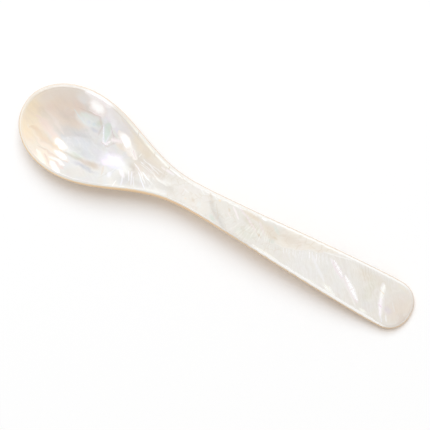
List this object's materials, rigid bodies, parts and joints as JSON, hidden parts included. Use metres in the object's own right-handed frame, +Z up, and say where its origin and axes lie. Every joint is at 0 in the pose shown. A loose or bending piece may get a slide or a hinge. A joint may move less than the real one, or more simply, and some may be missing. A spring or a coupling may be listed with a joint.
{
  "type": "spoon",
  "caption": "Small polished mother-of-pearl spoon: egg-shaped bowl with a soft rim, narrow neck and a gently arched handle that widens to a rounded end.",
  "frame": {"origin": "centre of the spoon's bounding box in plan, on the plane that it rests on", "axes": "+X along the spoon towards the handle's end, +Y across it, +Z up out of the bowl"},
  "size_m": [0.12, 0.0252, 0.009],
  "materials": {
    "nacre": "polished, pearly and iridescent",
    "amber_shell": "polished, warm and translucent at the edge"
  },
  "bodies": {
    "root": {"nacre_layer": "nacre", "amber_layer": "amber_shell"}
  },
  "joints": []
}
